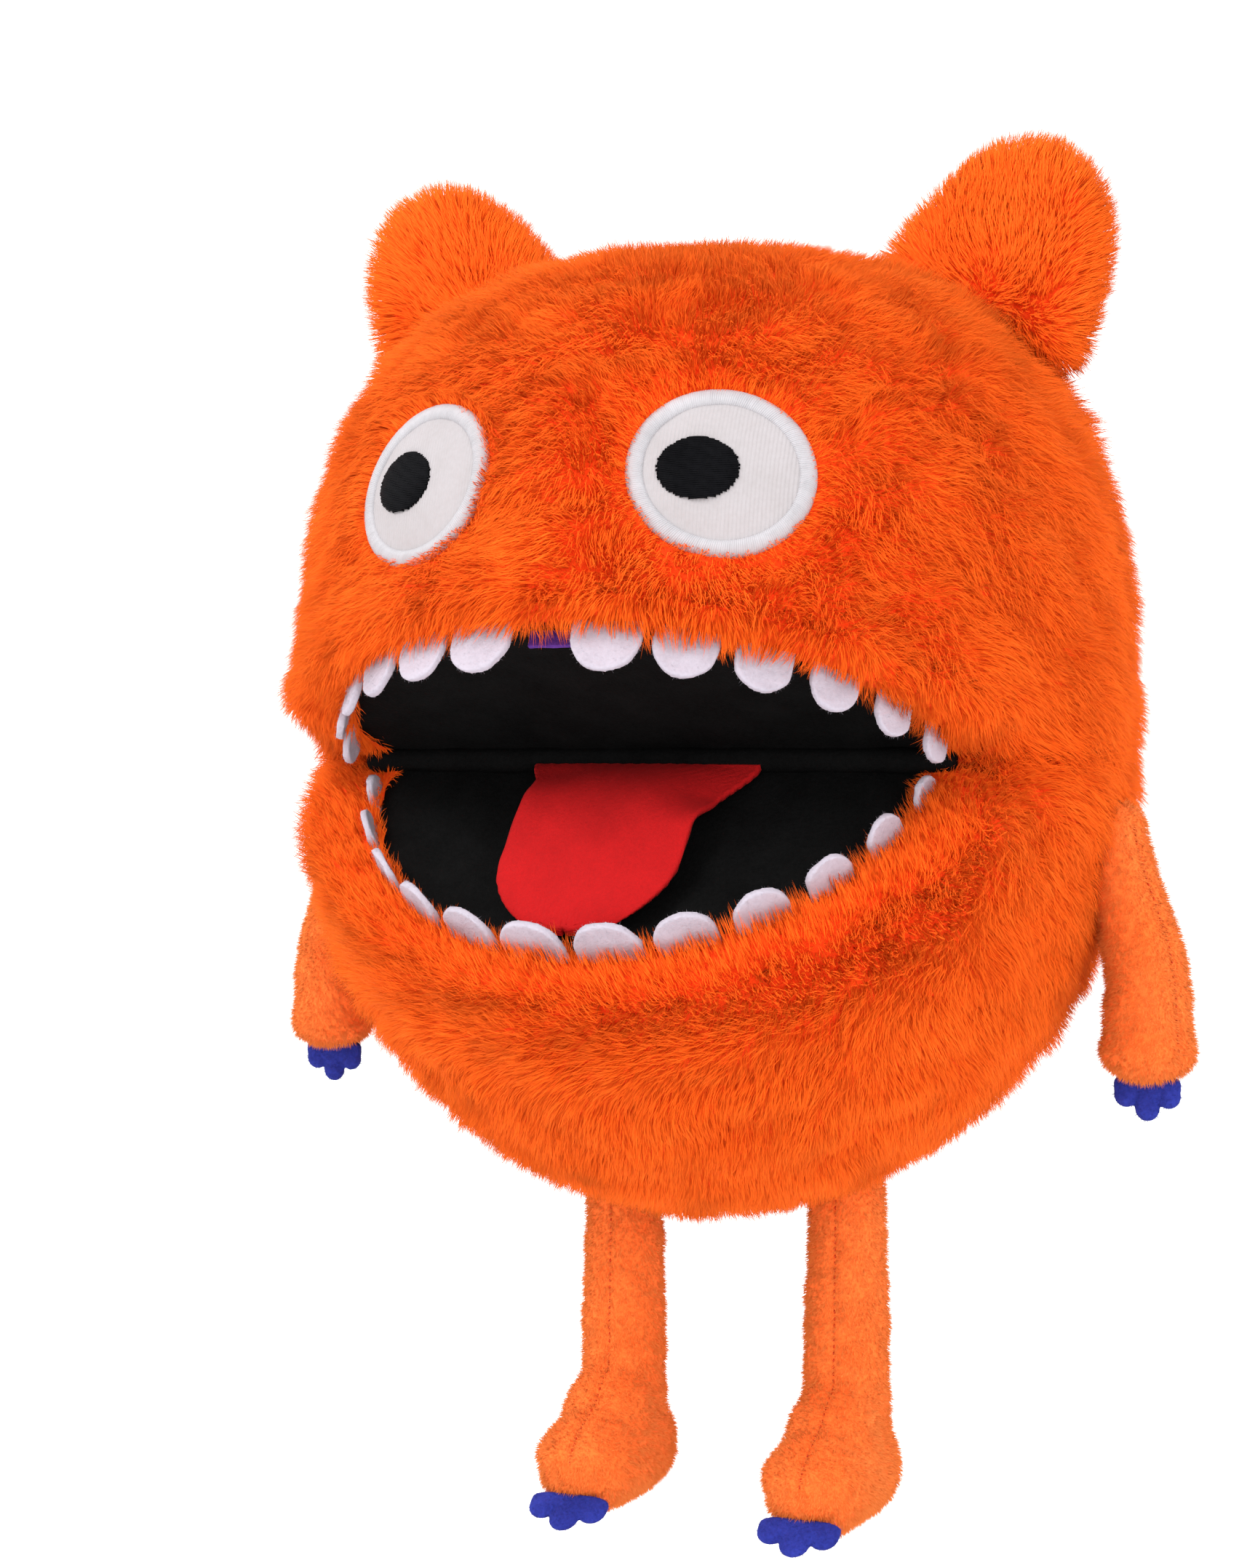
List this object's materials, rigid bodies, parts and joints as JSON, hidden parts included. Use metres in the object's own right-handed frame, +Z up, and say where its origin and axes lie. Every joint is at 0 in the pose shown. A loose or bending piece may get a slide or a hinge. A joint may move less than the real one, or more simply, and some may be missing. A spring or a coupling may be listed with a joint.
{
  "type": "hand puppet",
  "caption": "Round furry monster hand puppet with a jaw that opens and shuts, felt teeth, a tongue, ears, and hanging arms and legs.",
  "frame": {"origin": "centre of the hand opening, in the mid-plane of its rolled cuff, low in the back of the puppet", "axes": "+Z up; the puppet faces -Y; +X is the puppet's left"},
  "size_m": [0.2246, 0.1956, 0.3143],
  "materials": {
    "fur": "long soft pile",
    "velboa": "short pile",
    "black_felt": "matte felt",
    "white_felt": "matte felt",
    "red_fleece": "ribbed fleece",
    "blue_felt": "matte felt",
    "purple_felt": "matte felt",
    "eye_fabric": "short pile",
    "white_satin": "satin stitch",
    "black_thread": "satin stitch",
    "board": "plain",
    "sleeve_fabric": "woven",
    "stuffing": "fibre filling"
  },
  "bodies": {
    "back": {"back_panel": "fur", "cheek_left": "fur", "cheek_right": "fur", "brow_gusset": "fur", "chin_gusset": "fur", "body_stuffing": "stuffing", "hand_sleeve": "sleeve_fabric", "hand_cuff": "sleeve_fabric", "mouth_fold": "black_felt"},
    "head": {"head_plush": "fur", "head_stuffing": "stuffing", "upper_lining": "black_felt", "upper_stiffener": "board", "finger_pocket": "sleeve_fabric", "upper_teeth": "white_felt", "lip_tab": "purple_felt", "eye_white_left": "eye_fabric", "eye_white_right": "eye_fabric", "eye_border_left": "white_satin", "eye_border_right": "white_satin", "pupil_left": "black_thread", "pupil_right": "black_thread"},
    "jaw": {"chin_plush": "fur", "chin_stuffing": "stuffing", "lower_lining": "black_felt", "lower_stiffener": "board", "thumb_pocket": "sleeve_fabric", "lower_teeth": "white_felt"},
    "tongue": {"tongue": "red_fleece"},
    "ear_left": {"ear_left": "fur", "ear_stuffing_left": "stuffing"},
    "arm_left": {"arm_left": "velboa", "arm_stuffing_left": "stuffing", "hand_claws_left": "blue_felt"},
    "leg_left": {"leg_left": "velboa", "leg_stuffing_left": "stuffing", "foot_claws_left": "blue_felt"},
    "ear_right": {"ear_right": "fur", "ear_stuffing_right": "stuffing"},
    "arm_right": {"arm_right": "velboa", "arm_stuffing_right": "stuffing", "hand_claws_right": "blue_felt"},
    "leg_right": {"leg_right": "velboa", "leg_stuffing_right": "stuffing", "foot_claws_right": "blue_felt"}
  },
  "joints": [
    {"name": "head_tilt", "type": "hinge", "parent": "back", "child": "head", "pos_m": [0, -0.11467, 0.03975], "axis": [-1, 0, 0], "range_deg": [-25, 6], "deforming": ["brow_gusset"]},
    {"name": "jaw_drop", "type": "hinge", "parent": "back", "child": "jaw", "pos_m": [0, -0.11467, 0.03975], "axis": [1, 0, 0], "range_deg": [-34, 8], "deforming": ["chin_gusset"]},
    {"name": "tongue_lift", "type": "hinge", "parent": "jaw", "child": "tongue", "pos_m": [0, -0.11467, 0.03975], "axis": [-1, 0, 0], "range_deg": [0, 40]},
    {"name": "ear_flop_left", "type": "hinge", "parent": "back", "child": "ear_left", "pos_m": [0.06639, -0.07166, 0.14693], "axis": [0.8832, 0, -0.469], "range_deg": [-20, 20], "stiffness_Nm_per_rad": 0.02},
    {"name": "ear_flop_right", "type": "hinge", "parent": "back", "child": "ear_right", "pos_m": [-0.06639, -0.07166, 0.14693], "axis": [0.8832, 0, 0.469], "range_deg": [-20, 20], "stiffness_Nm_per_rad": 0.02},
    {"name": "arm_lift_left", "type": "hinge", "parent": "back", "child": "arm_left", "pos_m": [0.10257, -0.07667, 0.02419], "axis": [0, -1, 0], "range_deg": [0, 100]},
    {"name": "arm_lift_right", "type": "hinge", "parent": "back", "child": "arm_right", "pos_m": [-0.10257, -0.07667, 0.02419], "axis": [0, 1, 0], "range_deg": [0, 100]},
    {"name": "leg_swing_left", "type": "hinge", "parent": "back", "child": "leg_left", "pos_m": [0.0285, -0.06567, -0.06908], "axis": [-1, 0, 0], "range_deg": [-25, 70]},
    {"name": "leg_swing_right", "type": "hinge", "parent": "back", "child": "leg_right", "pos_m": [-0.0285, -0.06567, -0.06908], "axis": [-1, 0, 0], "range_deg": [-25, 70]}
  ]
}
